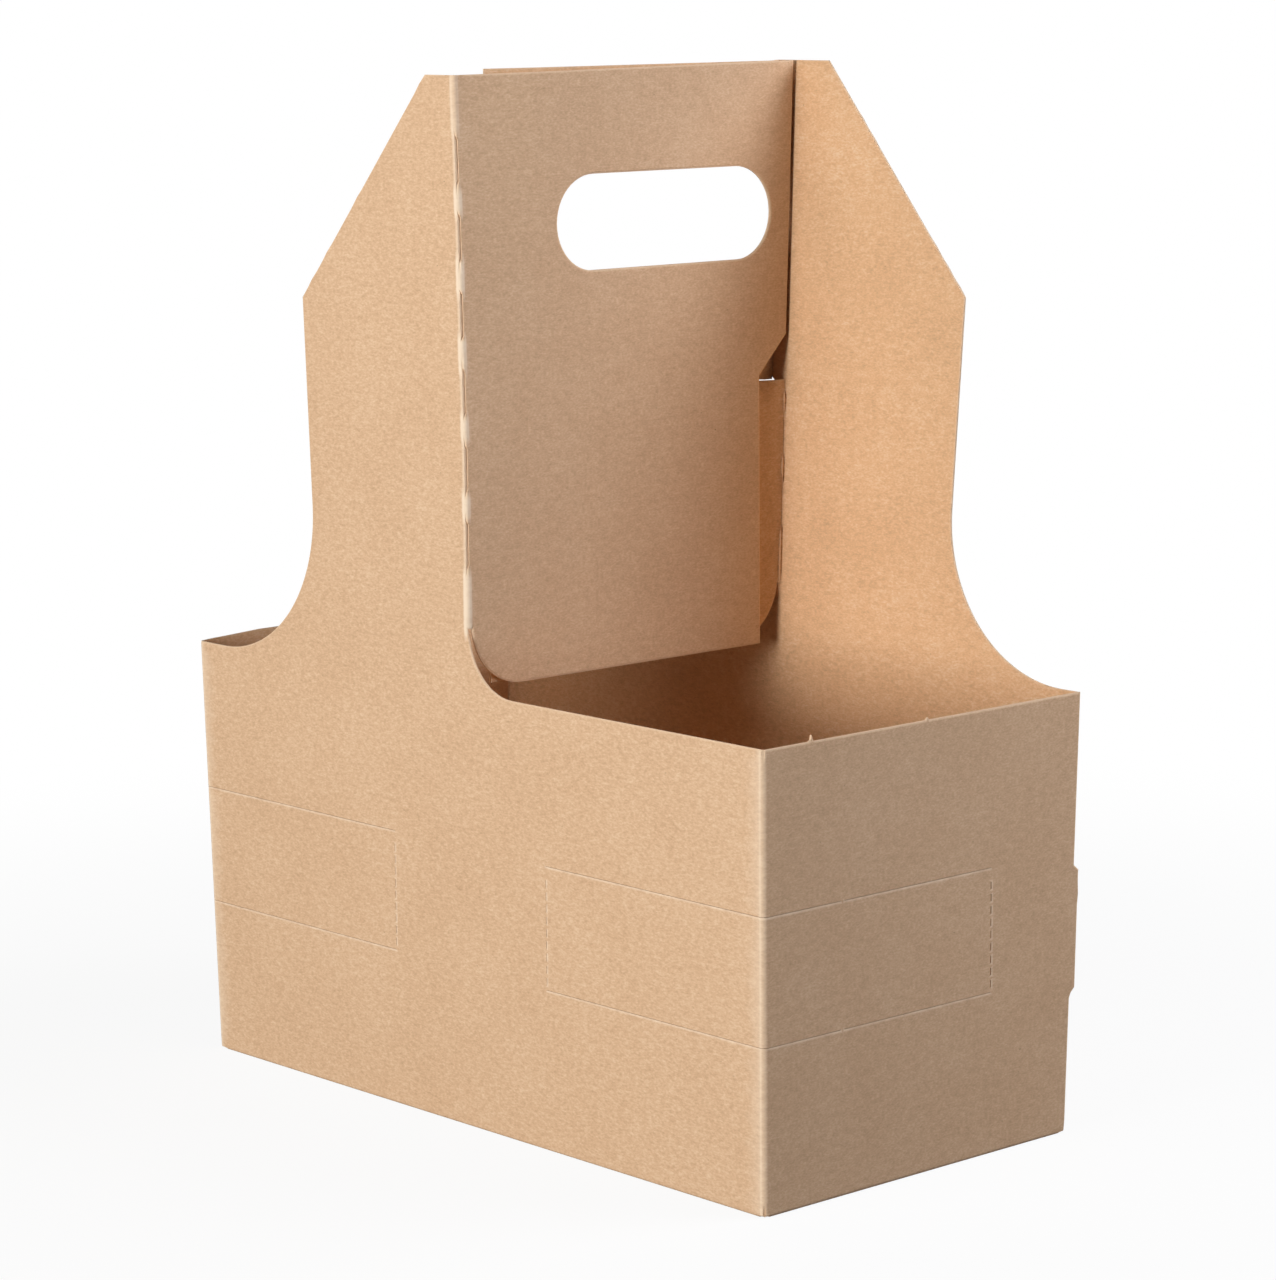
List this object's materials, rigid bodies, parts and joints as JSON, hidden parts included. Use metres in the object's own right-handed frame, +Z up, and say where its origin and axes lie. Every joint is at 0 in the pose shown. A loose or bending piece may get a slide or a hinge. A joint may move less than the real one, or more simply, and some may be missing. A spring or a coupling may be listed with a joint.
{
  "type": "cardboard cup carrier",
  "caption": "Folded kraft board carrier with an open box for take-away cups, half-width risers front and back, and a folded centre divider with a hand hole.",
  "frame": {"origin": "middle of the outside of the base, on the plane the carrier stands on", "axes": "X along the wide front and back walls, +X towards the end wall beside the glued seam; +Y towards the back wall, which holds the seam; +Z up through the handle"},
  "size_m": [0.1987, 0.1048, 0.2412],
  "materials": {
    "carrier": "matte uncoated kraft board, plain both sides"
  },
  "bodies": {
    "root": {"carrier": "carrier"}
  },
  "joints": []
}
